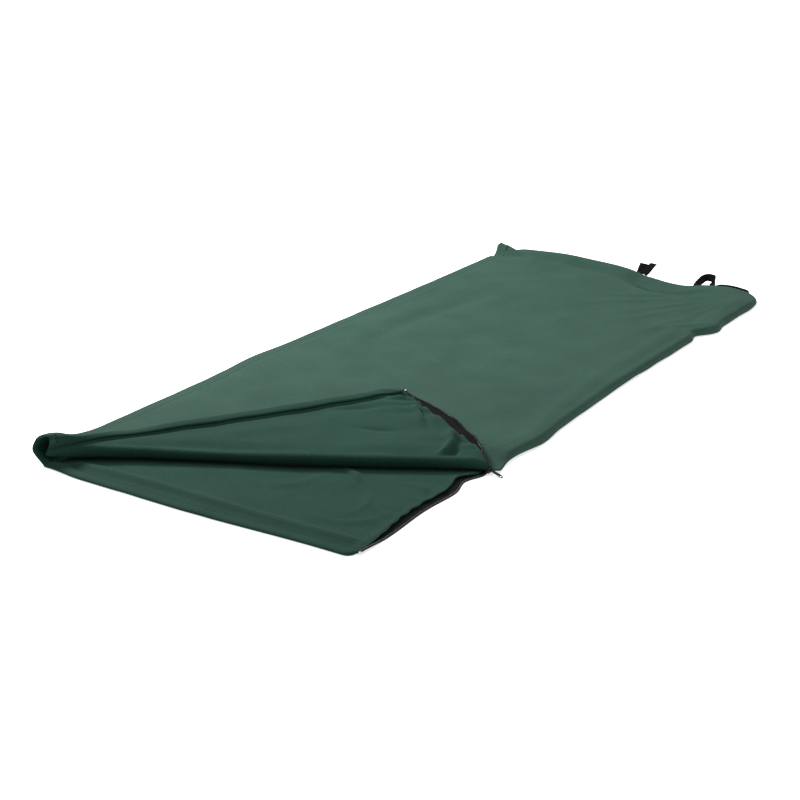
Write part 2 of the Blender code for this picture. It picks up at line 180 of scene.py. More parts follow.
def loop_rise(x):
    """The far fold stands open at the head end."""
    return LOOP_RISE * np.exp(-(np.abs((x - HEAD) / 0.09) ** 1.9))


def ear(x, y):
    """A pinched fold that stands up at the far foot corner."""
    off = x - 0.850 - 0.12 * (y - 0.385)
    steep = np.exp(-np.abs(off / np.where(off < 0, 0.008, 0.013)) ** 1.8)
    ridge = 0.026 * smooth((y - 0.27) / 0.12) ** 1.5 * steep
    dip = bump(x, 0.822, 0.014) + 2.6 * bump(x - 0.9 * (0.385 - y), 0.870, 0.013) * smooth((0.40 - y) / 0.05)
    return ridge - 0.006 * smooth((y - 0.25) / 0.07) * dip


def top_height(x, y):
    """Middle of the upper layer above the floor."""
    z = TOP_LAYER + loop_rise(x) * bump(y, FAR, 0.05)
    calm = smooth((FAR - y) / 0.06) * smooth((y - NEAR) / 0.06)
    z = z + calm * (0.0020 * ripples(x, y, 0.42, 3) + 0.0007 * ripples(x, y, 0.15, 5))
    # a shallow trough along the far side, and a low swell behind the rolled edge
    span = smooth((x + 0.02) / 0.12) * (1 - smooth((x - 0.44) / 0.12))
    z = z - 0.0038 * span * bump(y, 0.222 + 0.02 * np.sin(9 * x), 0.030)
    z = z + 0.0022 * span * bump(y, 0.285, 0.035)
    swell = bump(y - near_wave(x), NEAR + 0.040, 0.020)
    z = z + 0.0030 * swell * smooth((x + 0.40) / 0.12) * (1 - smooth((x - 0.80) / 0.08))
    # fine creases that fan out from the near foot corner
    fx, fy = x - 0.86, y + 0.35
    turn, reach = np.arctan2(fy, fx), np.hypot(fx, fy)
    fan = bump(reach, 0.26, 0.15) * smooth((turn - 1.9) / 0.3) * (1 - smooth((turn - 3.0) / 0.2))
    z = z + fan * (0.0008 * np.sin(30 * turn + 6 * reach) + 0.0006 * np.sin(47 * turn + 1.3))
    # the foot edge rises and falls on its own, with a valley behind it
    edge = through(y, (-0.385, 0.012), (-0.30, 0.021), (-0.235, 0.0175), (-0.16, 0.0075), (-0.09, 0.0085),
                   (-0.055, 0.0110), (-0.01, 0.0225), (0.04, 0.0280), (0.17, 0.033), (0.31, 0.027),
                   (0.385, 0.0195))
    low = smooth((x - 0.765 - 0.03 * np.sin(14 * y)) / 0.115)
    z = z * (1 - low) + edge * low
    valley = 0.838 - 0.045 * bump(y, -0.15, 0.10) + 0.015 * smooth((y + 0.02) / 0.2)
    z = z - 0.0115 * bump(x, valley, 0.022) * smooth((0.30 - y) / 0.1) * smooth((y + 0.30) / 0.1)
    # and the cloth is drawn down at the slider
    slider = np.hypot(x - OPEN_END, y - NEAR)
    z = z - 0.0060 * np.exp(-((slider / 0.05) ** 2))
    return z + ear(x, y)


def cover_point(x, y):
    """Middle surface of the upper layer, whose sewn edges roll down over the zip."""
    z = top_height(x, y)
    e, dx, dy = inset(x, y)
    turn = np.clip((CURL - e) / CURL, 0, CURL_TURN)
    out = np.where(e < CURL, e - (CURL - CURL * np.sin(turn)), 0.0)
    px, py = shifted(x, y)
    low = CURL_FOOT + 0.0010 * ripples(x, y, 0.11, 8)
    z = z - (z - low) * (1 - np.cos(turn)) / (1 - math.cos(CURL_TURN))
    return np.stack([px + dx * out, py + dy * out, z], -1)


# little folds of the lower layer: place, direction, length, width and height
LOWER_FOLDS = (
    (-0.600, -0.175, 0.62, 0.78, 0.040, 0.008, 0.0060),
    (-0.583, -0.325, 0.55, 0.83, 0.030, 0.007, 0.0060),
    (-0.785, -0.295, 0.56, -0.83, 0.055, 0.009, 0.0036),
    (-0.700, -0.100, 0.75, -0.66, 0.060, 0.012, 0.0030),
    (-0.690, -0.270, 0.90, 0.43, 0.050, 0.008, 0.0032),
)


def bottom_point(x, y):
    """Middle surface of the lower layer."""
    px, py = shifted(x, y)
    px = px - head_wave(x, y)
    e, _, _ = inset(x, y)
    z = FLOOR_LAYER + 0.0012 * smooth(ripples(x, y, 0.16, 11) * 0.5)
    z = z + 0.0030 * np.exp(-((e / 0.010) ** 2)) * (x > OPEN_END)
    beside = np.exp(-((np.maximum(e - 0.020, 0) / 0.008) ** 2))
    z = z + 0.0026 * beside * smooth((OPEN_END - x) / 0.03) * smooth((x - HEAD) / 0.05)
    # the cloth rides up behind its hem
    d = x - HEAD
    hemmed = smooth((y + 0.375) / 0.04) * (1 - smooth((y - 0.26) / 0.09))
    ridge = bump(d, 0.054 + 0.004 * np.sin(11 * y + 1), 0.010)
    z = z + hemmed * (0.0018 * bump(d, 0.031, 0.005) + 0.0080 * ridge)
    # puckers beside the tape and little folds under the roll, in the open part
    gather = (x < OPEN_END + 0.02) * smooth((x - HEAD) / 0.08)
    z = z + gather * 0.0016 * np.exp(-(y - NEAR) / 0.035) * (1 + np.sin(75 * x + 8 * np.sin(9 * x)))
    for ax, ay, dx, dy, long, wide, tall in LOWER_FOLDS:
        p, q = (x - ax) * dx + (y - ay) * dy, -(x - ax) * dy + (y - ay) * dx
        z = z + tall * bump(p, 0, long) * bump(q, 0.4 * p * p / long, wide)
    corner = np.clip(1 - np.hypot(x - HEAD, y - NEAR) / 0.03, 0, 1) ** 2
    return np.stack([px + 0.012 * corner, py + 0.012 * corner, z], -1)


def far_point(x, s):
    """Middle surface of the far fold. s runs from 0 on the lower layer, round the outside, to 1 on the
    upper layer."""
    rise = loop_rise(x) / LOOP_RISE
    shut = smooth((x - (FOOT - 0.03)) / 0.03)
    low_z, top_z = bottom_point(x, JOIN + 0 * x)[..., 2], top_height(x, FAR + 0 * x)
    join_top = top_height(x, JOIN + 0 * x)
    cy = FAR + far_wave(x) - 0.020 * rise
    half_y = 0.0085 + 0.0290 * rise - 0.004 * shut
    psi = (np.clip((s - 0.3) / 0.4, 0, 1) - 0.5) * math.pi
    up = ((1 + np.sin(psi)) / 2) ** (1 - 0.30 * rise)
    side = np.cos(psi) ** np.where(psi < 0, 1 + 0.8 * rise, 1.0)
    inner = np.where(s < 0.3, (0.3 - s) / 0.3, np.clip((s - 0.7) / 0.3, 0, 1))
    start_y = JOIN + far_wave(x) * (1 - smooth((FAR - JOIN) / 0.25))
    y = cy + half_y * side + inner * (start_y - cy)
    z = low_z + (top_z - low_z) * up
    z = np.where(s > 0.7, top_z + (join_top - top_z) * smooth(inner), z)
    z = z - 0.008 * rise * smooth((s - 0.68) / 0.15)
    lean = 0.014 * rise * smooth((z - 0.02) / 0.04)
    bow = head_wave(x, JOIN) * (1 - smooth((z - 0.004) / 0.055))
    soft = 0.0012 * ripples(x, s, 0.10, 21) * np.cos(psi)
    return np.stack([x - 0.004 * shut + lean - bow, y + soft, z], -1)


def edge_of_corner(a):
    """Cloth between the crease and the head edge, at a distance a along the crease."""
    return np.sqrt((SLANT * a) ** 2 + TIP_CLOTH ** 2)


# wrinkles of the turned corner: place, direction, length, width and height
CORNER_FOLDS = (
    (-0.363, -0.013, 0.72, -0.70, 0.055, 0.012, -0.0045),
    (-0.438, -0.114, 0.42, -0.91, 0.040, 0.010, -0.0040),
    (-0.262, -0.060, -0.45, 0.89, 0.030, 0.008, 0.0060),
    (-0.322, -0.138, -0.75, -0.66, 0.045, 0.008, 0.0075),
    (-0.328, -0.158, -0.75, -0.66, 0.045, 0.008, -0.0060),
    (-0.600, 0.095, 0.80, -0.60, 0.120, 0.030, 0.0030),
    (-0.262, -0.085, -0.62, -0.78, 0.024, 0.006, -0.0060),
    (-0.278, -0.104, -0.70, -0.71, 0.030, 0.007, 0.0050),
    (-0.395, -0.265, 0.80, 0.60, 0.030, 0.009, 0.0040),
)


def corner_point(a, w):
    """Middle surface of the roll and the turned corner. a runs along the crease, and w across it:
    below 0 is the upper layer, 0 the front of the roll, and above 0 the turned corner."""
    a, w = np.broadcast_arrays(np.asarray(a, float), np.asarray(w, float))
    # along the crease: height of the roll's middle, its half height, and how far it lies over the upper layer
    mid = through(a, (0, 0.0209), (0.08, 0.0215), (0.134, 0.0195), (0.2, 0.0190), (0.35, 0.0168),
                  (0.52, 0.0172), (0.86, 0.0172), (CREASE, 0.0130))
    half = through(a, (0, 0.0082), (0.08, 0.0120), (0.134, 0.0117), (0.2, 0.0104), (0.35, 0.0090),
                   (0.52, 0.0120), (0.86, 0.0108), (CREASE, 0.0050))
    lay = through(a, (0, 0.010), (0.08, 0.0225), (0.134, 0.0282), (0.2, 0.0280), (0.35, 0.0226),
                  (0.52, 0.0157), (0.86, 0.0167), (CREASE, 0.006))
    fx = HEAD + a * ALONG[0] - w * ACROSS[0]
    fy = FAR + a * ALONG[1] - w * ACROSS[1]
    turn = np.clip(w / ROLL_ARC, -1, 1) * math.pi / 2
    # the upper layer, running in under the crease
    under = np.maximum(-w - ROLL_ARC, 0)
    meet = smooth(under / (CUT - ROLL_ARC))
    low = cover_point(fx, fy)
    # the turned corner on top
    over = np.maximum(w - ROLL_ARC, 0)
    share = np.clip(w / CORNER_OUT, 0, 1)
    to_head = (edge_of_corner(a) - w) * math.cos(math.atan(SLANT))
    to_zip = np.maximum(fy - NEAR, 0)
    down = FAR - fy
    hem_z = through(down, (0, 0.0600), (0.03, 0.0565), (0.086, 0.0455), (0.19, 0.0365), (0.31, 0.0400),
                    (0.6, 0.0385), (0.77, 0.0375))
    crest = mid + half
    z = crest + (CORNER_LEVEL - crest) * smooth(over / 0.05)
    lift = np.exp(-((to_head / (0.014 + 0.016 * smooth(a / 0.15))) ** 2))
    z = z + (hem_z - z) * lift - 0.0035 * bump(to_head, 0.031, 0.006) * smooth(over / 0.03)
    on_flap = smooth(over / 0.02)
    z = z + on_flap * 0.0010 * ripples(fx, fy, 0.13, 31)
    gather = np.exp(-to_zip / 0.040) * on_flap * smooth((share - 0.08) / 0.2)
    z = z + gather * 0.0030 * np.sin(54 * share + 5 * np.sin(7 * share))
    shear = 0.039 * share
    tip = np.exp(-((a / 0.06) ** 2)) * (0.012 + 0.008 * np.clip(w / TIP_CLOTH, 0, 1))
    bow = 0.022 * 4 * share * (1 - share) * np.exp(-to_zip / 0.10)
    steep = 0.25 + 0.75 * smooth(a / 0.14)
    n = -half * np.cos(turn) + lay * np.exp(-over / 0.12) + over * steep + 0.458 * bow
    t = a + shear + tip + 0.889 * bow
    n = np.where(w < 0, -half * np.cos(turn) + under + lay + (ROLL_ARC - lay) * meet, n)
    x = HEAD + t * ALONG[0] + n * ACROSS[0]
    y = FAR + t * ALONG[1] + n * ACROSS[1]
    # a curved wrinkle near the tape, and softer ones over the corner
    ring, where = np.hypot(x + 0.487, y + 0.10), np.arctan2(y + 0.10, x + 0.487)
    arc = smooth((where + 1.85) / 0.35) * (1 - smooth((where + 0.95) / 0.25))
    z = z + on_flap * arc * 0.0115 * bump(ring, 0.192, 0.008) * smooth((to_zip - 0.008) / 0.02)
    z = z - on_flap * arc * 0.0065 * bump(ring, 0.211, 0.009) * smooth((to_zip - 0.020) / 0.03)
    for ax, ay, dx, dy, long, wide, tall in CORNER_FOLDS:
        p, q = (x - ax) * dx + (y - ay) * dy, -(x - ax) * dy + (y - ay) * dx
        z = z + on_flap * tall * bump(p, 0, long) * bump(q, 0, wide) * smooth((to_zip - 0.012) / 0.02)
    z = np.where(w > 0, mid + (z - mid) * np.sin(turn), mid + half * np.sin(turn))
    meet_z = smooth(under / (CUT - ROLL_ARC - 0.010))
    z = np.where(w < 0, z * (1 - meet_z) + low[..., 2] * meet_z, z)
    # past the crease's end the strip takes the upper layer's own place, so the rolled near edge runs on
    keep = np.where(w < 0, meet_z, 0.0)
    x = x * (1 - keep) + low[..., 0] * keep
    y = y * (1 - keep) + low[..., 1] * keep
    return np.stack([x, y, z], -1)


def normal_of(surface, p, q):
    """Unit normal on the cloth's inner side."""
    d = 0.0008
    u = surface(p + d, q) - surface(p - d, q)
    v = surface(p, q + d) - surface(p, q - d)
    return unit(np.cross(u, v))


# ---------------------------------------------------------------- meshes

def make(name, verts, faces, materials=(), share=None):
    mesh = bpy.data.meshes.new(name)
    points = [tuple(map(float, v)) for v in np.asarray(verts).reshape(-1, 3)]
    mesh.from_pydata(points, [], [tuple(map(int, f)) for f in faces])
    mesh.validate()
    obj = bpy.data.objects.new(name, mesh)
    bpy.context.scene.collection.objects.link(obj)
    for m in materials:
        mesh.materials.append(m)
    mesh.polygons.foreach_set("use_smooth", [True] * len(mesh.polygons))
    if share is not None:
        values = mesh.attributes.new("share", "FLOAT", "POINT").data
        values.foreach_set("value", np.asarray(share, np.float32).reshape(-1))
    mesh.update()
    return obj


def applied(obj):
    """Bakes the modifiers into the mesh."""
    bpy.context.view_layer.update()
    done = bpy.data.meshes.new_from_object(obj.evaluated_get(bpy.context.evaluated_depsgraph_get()))
    old = obj.data
    obj.modifiers.clear()
    obj.data = done
    done.name = obj.name
    bpy.data.meshes.remove(old)
    return obj


def thicken(obj):
    """Gives a middle surface the cloth's thickness. The side of the normals is the cloth's inner face, with
    the first material."""
    m = obj.modifiers.new("thick", "SOLIDIFY")
    m.thickness, m.offset = CLOTH, 0
    m.use_rim = True
    m.material_offset, m.material_offset_rim = 1, 0
    return applied(obj)


def grid_faces(rows, cols):
    i = np.arange(rows * cols).reshape(rows, cols)
    return np.stack([i[:-1, :-1], i[1:, :-1], i[1:, 1:], i[:-1, 1:]], -1).reshape(-1, 4)


def steps(low, high, coarse, fine_low=None, fine_high=None, reach=0.03):
    """Grid lines from low to high, closer together near an edge that bends."""
    lines = [low]
    while lines[-1] < high:
        at, step = lines[-1], coarse
        if fine_low and at - low < reach:
            step = fine_low
        if fine_high and high - at < reach + coarse:
            step = fine_high
        lines.append(min(at + step, high))
    return np.array(lines)


def flat_mesh(xs, ys, keep):
    """The points of a flat grid that keep() allows, and the faces between them."""
    x, y = np.meshgrid(xs, ys, indexing="ij")
    x, y = x.reshape(-1), y.reshape(-1)
    faces = grid_faces(len(xs), len(ys))
    good = keep(x, y)
    faces = faces[good[faces].all(axis=1)]
    used = np.unique(faces)
    number = np.full(len(x), -1)
    number[used] = np.arange(len(used))
    return x[used], y[used], number[faces]


def band(name, surface, starts, inward, section, materials, share=None):
    """A closed strip along an edge. starts are the edge's points in the cloth's own coordinates, inward is
    the direction into the cloth, and section gives (distance in, height off the middle surface)."""
    starts, inward = np.asarray(starts, float), np.asarray(inward, float)
    rings, shares = [], []
    for k, (u, h) in enumerate(section):
        p = starts + inward * np.reshape(u, (-1, 1))
        middle = surface(p[:, 0], p[:, 1])
        rings.append(middle + np.reshape(h, (-1, 1)) * normal_of(surface, p[:, 0], p[:, 1]))
        shares.append(share(middle, p[:, 1]) if share else 0 * p[:, 1])
    return tube_from(name, np.stack(rings, 1), materials, np.stack(shares, 1) if share else None)


def tube_from(name, rings, materials, share=None):
    """A closed tube through rings of points, with its two ends capped."""
    m, k = rings.shape[:2]
    i = np.arange(m * k).reshape(m, k)
    nxt = np.roll(i, -1, axis=1)
    faces = np.stack([i[:-1], nxt[:-1], nxt[1:], i[1:]], -1).reshape(-1, 4).tolist()
    faces += [i[0].tolist()[::-1], i[-1].tolist()]
    return make(name, rings.reshape(-1, 3), faces, materials, share)


def outward(obj):
    """Turns every face outward."""
    bm = bmesh.new()
    bm.from_mesh(obj.data)
    bmesh.ops.recalc_face_normals(bm, faces=bm.faces)
    bm.to_mesh(obj.data)
    bm.free()
    return obj


def hem_band(name, surface, starts, inward, section, share=None):
    """A hem: the band with its faces outward and its corners rounded."""
    obj = outward(band(name, surface, starts, inward, section, (M_IN,), share))
    m = obj.modifiers.new("round", "SUBSURF")
    m.levels = m.render_levels = 1
    return applied(obj)


def points_of(obj):
    co = np.zeros(len(obj.data.vertices) * 3)
    obj.data.vertices.foreach_get("co", co)
    return co.reshape(-1, 3)


def bend(obj, weights=None):
    """Bakes a cloth piece's placement into its mesh and takes its share attribute off. weights, the share of
    the joint's turn at each point, is not used.
    """
    if weights is None:
        weights = np.zeros(len(obj.data.vertices), np.float32)
        obj.data.attributes["share"].data.foreach_get("value", weights)
        obj.data.attributes.remove(obj.data.attributes["share"])
    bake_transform(obj)
    return obj


def unroll_corner(points, w):
    """The share of the crease's turn that lays each point of the turned corner out flat."""
    dx, dy = points[..., 0] - HEAD, points[..., 1] - FAR
    n, h = dx * ACROSS[0] + dy * ACROSS[1], points[..., 2] - CREASE_AXIS_Z
    r = np.maximum(np.hypot(n, h), 1e-4)
    laid = np.arcsin(np.clip((LAID_FLAT - CREASE_AXIS_Z) / r, -1, 1))
    most = np.clip((math.pi - laid - np.arctan2(h, n)) / math.pi, 0, 1)
    return most * smooth((w + 0.010) / 0.040)


def unroll_far(points):
    """The share of the cover's turn that lays the far fold out flat."""
    y, h = points[:, 1] - HINGE_FAR[0], points[:, 2] - HINGE_FAR[1]
    r = np.maximum(np.hypot(y, h), 1e-4)
    at = np.arctan2(h, y)
    at = np.where(at < -math.pi / 2 - 0.1, -math.pi / 2, at)
    laid = np.arcsin(np.clip((HINGE_FAR[1] - 0.0025) / r, -1, 1))
    return np.clip((at + laid) / COVER_TURN, 0, 1)


# ---------------------------------------------------------------- materials

def material(name):
    m = bpy.data.materials.new(name)
    m.use_nodes = True
    nodes = m.node_tree.nodes
    return m, nodes, m.node_tree.links, nodes["Principled BSDF"]


def node(nodes, kind, **settings):
    n = nodes.new(kind)
    for key, value in settings.items():
        if key in n.inputs:
            n.inputs[key].default_value = value
        else:
            setattr(n, key, value)
    return n


def ramp(nodes, links, source, stops):
    r = nodes.new("ShaderNodeValToRGB")
    e = r.color_ramp.elements
    e[0].position, e[0].color = stops[0][0], (*stops[0][1], 1)
    e[1].position, e[1].color = stops[-1][0], (*stops[-1][1], 1)
    for at, colour in stops[1:-1]:
        e.new(at).color = (*colour, 1)
    links.new(source, r.inputs["Fac"])
    return r.outputs["Color"]


def shade(colour, k):
    return tuple(c * k for c in colour)


def fleece(name, colour, sheen):
    """Brushed fleece: short matted pile with slow mottling, finer clumps of fibre and a soft sheen."""
    m, nodes, links, bsdf = material(name)
    where = nodes.new("ShaderNodeTexCoord").outputs["Object"]
    slow = node(nodes, "ShaderNodeTexNoise", Scale=9.0, Detail=3.0, Roughness=0.55)
    clump = node(nodes, "ShaderNodeTexNoise", Scale=210.0, Detail=4.0, Roughness=0.65, Distortion=0.6)
    fibre = node(nodes, "ShaderNodeTexNoise", Scale=1500.0, Detail=3.0, Roughness=0.7, Distortion=1.2)
    pill = node(nodes, "ShaderNodeTexVoronoi", Scale=330.0, feature="SMOOTH_F1", Smoothness=0.7)
    for n in (slow, clump, fibre, pill):
        links.new(where, n.inputs["Vector"])
    tone = node(nodes, "ShaderNodeMath", operation="MULTIPLY_ADD")
    links.new(clump.outputs["Fac"], tone.inputs[0])
    tone.inputs[1].default_value = 0.55
    part = node(nodes, "ShaderNodeMath", operation="MULTIPLY")
    links.new(slow.outputs["Fac"], part.inputs[0])
    part.inputs[1].default_value = 0.45
    links.new(part.outputs[0], tone.inputs[2])
    pale = tuple(min(1, c * 1.13 + 0.002) for c in colour)
    base = ramp(nodes, links, tone.outputs[0], ((0.30, shade(colour, 0.80)), (0.50, colour), (0.68, pale)))
    links.new(base, bsdf.inputs["Base Color"])
    bsdf.inputs["Roughness"].default_value = 0.93
    bsdf.inputs["Specular IOR Level"].default_value = 0.08
    bsdf.inputs["Sheen Weight"].default_value = sheen
    bsdf.inputs["Sheen Roughness"].default_value = 0.45
    bsdf.inputs["Sheen Tint"].default_value = (0.62, 0.80, 0.74, 1)
    first = node(nodes, "ShaderNodeBump", Strength=0.55, Distance=0.0012)
    second = node(nodes, "ShaderNodeBump", Strength=0.45, Distance=0.0004)
    third = node(nodes, "ShaderNodeBump", Strength=0.35, Distance=0.0006)
    links.new(clump.outputs["Fac"], first.inputs["Height"])
    links.new(fibre.outputs["Fac"], second.inputs["Height"])
    links.new(pill.outputs["Distance"], third.inputs["Height"])
    links.new(first.outputs[0], second.inputs["Normal"])
    links.new(second.outputs[0], third.inputs["Normal"])
    links.new(third.outputs[0], bsdf.inputs["Normal"])
    return m


def woven(name, colour, pitch, rough, sheen):
    """A woven narrow tape: ribs across and yarns along, with painted shade in the grooves and a painted
    highlight on the crowns.
    """
    m, nodes, links, bsdf = material(name)
    where = nodes.new("ShaderNodeTexCoord").outputs["Object"]
    ribs = []
    for axis in ("X", "Y"):
        w = node(nodes, "ShaderNodeTexWave", Scale=1 / pitch, Distortion=0.8, Detail=1.0, wave_type="BANDS",
                 bands_direction=axis)
        w.inputs["Detail Scale"].default_value = 2.0
        links.new(where, w.inputs["Vector"])
        ribs.append(w)
    weave = node(nodes, "ShaderNodeMath", operation="MULTIPLY")
    links.new(ribs[0].outputs["Fac"], weave.inputs[0])
    links.new(ribs[1].outputs["Fac"], weave.inputs[1])
    fuzz = node(nodes, "ShaderNodeTexNoise", Scale=160.0, Detail=5.0, Roughness=0.6)
    links.new(where, fuzz.inputs["Vector"])
    relief_with_painted_shade = node(nodes, "ShaderNodeMath", operation="MULTIPLY_ADD")
    links.new(weave.outputs[0], relief_with_painted_shade.inputs[0])
    relief_with_painted_shade.inputs[1].default_value = 0.5
    links.new(fuzz.outputs["Fac"], relief_with_painted_shade.inputs[2])
    # painted shade in the weave's grooves and a painted highlight on its crowns, from its relief and the
    # fibre fuzz
    tones = ((0.35, shade(colour, 0.55)), (0.60, colour), (1.0, shade(colour, 1.9)))
    base = ramp(nodes, links, relief_with_painted_shade.outputs[0], tones)
    links.new(base, bsdf.inputs["Base Color"])
    bsdf.inputs["Roughness"].default_value = rough
    bsdf.inputs["Specular IOR Level"].default_value = 0.03
    bsdf.inputs["Sheen Weight"].default_value = sheen
    bumped = node(nodes, "ShaderNodeBump", Strength=0.7, Distance=0.0003)
    links.new(relief_with_painted_shade.outputs[0], bumped.inputs["Height"])
    links.new(bumped.outputs[0], bsdf.inputs["Normal"])
    return m


def hard(name, colour, metal, rough, wear):
    """Metal or moulded plastic with fine scratches, and paler where it is handled."""
    m, nodes, links, bsdf = material(name)
    where = nodes.new("ShaderNodeTexCoord").outputs["Object"]
    grain = node(nodes, "ShaderNodeTexNoise", Scale=420.0, Detail=6.0, Roughness=0.6)
    links.new(where, grain.inputs["Vector"])
    worn = tuple(min(1, c * wear) for c in colour)
    tones = ((0.35, shade(colour, 0.8)), (0.55, colour), (0.75, worn))
    base = ramp(nodes, links, grain.outputs["Fac"], tones)
    links.new(base, bsdf.inputs["Base Color"])
    bsdf.inputs["Metallic"].default_value = metal
    span = node(nodes, "ShaderNodeMapRange")
    links.new(grain.outputs["Fac"], span.inputs["Value"])
    span.inputs["To Min"].default_value = rough * 0.8
    span.inputs["To Max"].default_value = min(1, rough * 1.35)
    links.new(span.outputs[0], bsdf.inputs["Roughness"])
    bumped = node(nodes, "ShaderNodeBump", Strength=0.25, Distance=0.0001)
    links.new(grain.outputs["Fac"], bumped.inputs["Height"])
    links.new(bumped.outputs[0], bsdf.inputs["Normal"])
    return m


OUTER = (0.0245, 0.0595, 0.0440)
INNER = (0.0112, 0.0405, 0.0290)
M_OUT = fleece("fleece_outer", OUTER, 0.07)
M_IN = fleece("fleece_inner", INNER, 0.05)
M_TAPE = woven("zip_tape_black", (0.0060, 0.0060, 0.0064), 0.0009, 0.85, 0.0)
M_WEB = woven("webbing_black", (0.0045, 0.0045, 0.0048), 0.0016, 0.80, 0.0)
M_COIL = hard("coil_black", (0.0050, 0.0050, 0.0055), 0.0, 0.45, 1.6)
M_GUN = hard("gunmetal_black", (0.030, 0.030, 0.032), 0.9, 0.36, 2.2)
M_NICKEL = hard("nickel", (0.62, 0.61, 0.58), 1.0, 0.26, 1.25)
M_THREAD = woven("thread_green", shade(INNER, 1.25), 0.0008, 0.8, 0.2)


# ---------------------------------------------------------------- the two layers

def open_inset(x):
    """Along the open zip the lower layer's cloth stops short of the edge, with the tape beyond it."""
    puckers = 0.0012 * np.sin(120 * x + 5 * np.sin(9 * x))
    return 0.006 + 0.014 * smooth((x + 0.885) / 0.18) * (1 - 0.5 * smooth((x + 0.51) / 0.06)) + puckers


def lower_outline(x, y):
    """Slides the edge row of the flat lower layer to where its cloth ends."""
    closed = smooth((x - OPEN_END) / 0.03)
    gap = open_inset(x) * (1 - closed) + 0.004 * closed
    return np.maximum(y, NEAR + gap)


xs = steps(HEAD, FOOT - 0.003, 0.0085, fine_high=0.004, reach=0.012)
ys = steps(NEAR, JOIN + 0.001, 0.0075, fine_low=0.0035, reach=0.030)
x, y, faces = flat_mesh(xs, ys, lambda x, y: inset(x, y)[0] > -1e-6)
bottom = thicken(make("bottom_fleece", bottom_point(x, lower_outline(x, y)), faces, (M_IN, M_OUT)))
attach(bottom, "base")
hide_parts("bottom_panel")


def slide_to_crease(x, y):
    """Moves the ragged edge of the grid onto the line beside the crease."""
    n = (x - HEAD) * ACROSS[0] + (y - FAR) * ACROSS[1]
    return x + np.clip(CUT - n, 0, 1) / ACROSS[0], y


xs = steps(HEAD, FOOT - RIM, 0.0075, fine_high=0.0028, reach=0.028)
ys = steps(NEAR + RIM, JOIN + 0.001, 0.0075, fine_low=0.0028, reach=0.036)
x, y, faces = flat_mesh(xs, ys, lambda x, y: (inset(x, y)[0] > RIM - 0.0010)
                        & ((x - HEAD) * ACROSS[0] + (y - FAR) * ACROSS[1] > CUT - 0.0075))
x, y = slide_to_crease(x, y)
cover = thicken(make("top_fleece", cover_point(x, y), faces[:, ::-1], (M_IN, M_OUT)))
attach(cover, "cover")
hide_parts("top_panel")

xs = steps(HEAD, FOOT, 0.0085, fine_low=0.003, fine_high=0.003, reach=0.05)
ss = np.linspace(0, 1, 31)
x, s = np.meshgrid(xs, ss, indexing="ij")
far = thicken(make("side_fold_fleece", far_point(x, s), grid_faces(*x.shape), (M_IN, M_OUT)))
bend(far, unroll_far(points_of(far)))
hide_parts("side_fold")

# ---------------------------------------------------------------- the roll and the turned corner

def zip_gap(w):
    """How far the turned corner's cloth stops short of the zip's edge, and so how much tape shows."""
    part = w / CORNER_OUT
    middle = smooth((part - 0.10) / 0.25) * (1 - 0.75 * smooth((part - 0.72) / 0.25))
    return 0.002 * smooth((w - 0.004) / 0.03) + 0.011 * middle


rows = np.concatenate([np.linspace(-ROLL_STRIP, -ROLL_ARC, 22)[:-1],
                       np.linspace(-ROLL_ARC, ROLL_ARC, 21)[:-1],
                       np.linspace(ROLL_ARC, 0.06, 13)[:-1],
                       np.linspace(0.06, CORNER_OUT - 0.011, 74)])
COLS = 210
w = np.repeat(rows[:, None], COLS, 1)
first = np.where(rows < TIP_CLOTH, 0.0, np.sqrt(np.maximum(rows ** 2 - TIP_CLOTH ** 2, 0)) / SLANT)
far_end = (FAR - JOIN - ACROSS[1] * rows) / -ALONG[1]
first = np.where(rows < 0, far_end * smooth(-rows / ROLL_ARC), first)
last = CREASE - END_SLANT * rows - zip_gap(rows) - RIM / -ALONG[1] * smooth(-rows / 0.02)
g = np.linspace(0, 1, COLS)
a = first[:, None] + (last - first)[:, None] * g
co = corner_point(a, w)
faces = grid_faces(*w.shape)[:, ::-1]
corner = thicken(make("corner_fleece", co, faces, (M_IN, M_OUT), unroll_corner(co, w)))
bend(corner)
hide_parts("corner_roll", "corner_flap")

# ---------------------------------------------------------------- hems

# the folded edge wraps from the outer face round to the inner one: (distance in from the edge, height off the
# middle)
HEM_SECTION = ((0.0060, -0.0017), (0.0005, -0.0019), (-0.0022, -0.0008), (-0.0030, 0.0014), (-0.0018, 0.0038),
               (0.0020, 0.0050), (0.0080, 0.0053), (0.0160, 0.0052), (0.0212, 0.0048), (HEM, 0.0036),
               (HEM - 0.0004, 0.0018), (0.0120, 0.0010))


def head_edge(count, low, high):
    """Points of the head edge in the cloth's own coordinates, and the direction into the cloth at each."""
    t = np.linspace(low, high, count)
    return np.stack([HEAD + 0 * t, t], 1), np.tile([1.0, 0.0], (count, 1))


hem = hem_band("bottom_hem", bottom_point, *head_edge(170, NEAR + 0.002, JOIN + 0.004), HEM_SECTION)
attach(hem, "base")

narrow = [(u * (0.62 if u > 0 else 1.0), h * (0.75 if h > 0 else 1.0)) for u, h in HEM_SECTION]
loop_hem = hem_band("far_loop_hem", far_point, *head_edge(60, -0.06, 0.80), narrow)
bend(loop_hem, unroll_far(points_of(loop_hem)))

a = np.linspace(0.0, CORNER_ALONG - 0.010, 220)
starts = np.stack([a, edge_of_corner(a)], 1)
lead = unit(np.gradient(starts, axis=0))
inward = np.stack([lead[:, 1], -lead[:, 0]], 1)
corner_hem = hem_band("corner_hem", corner_point, starts, inward, HEM_SECTION, unroll_corner)
bend(corner_hem)


# ---------------------------------------------------------------- the zip

ZIP_START, ZIP_END = 0.016, 0.030
TAPE_THICK = 0.0010
COIL_WIDE, COIL_WIRE = 0.0036, 0.00055
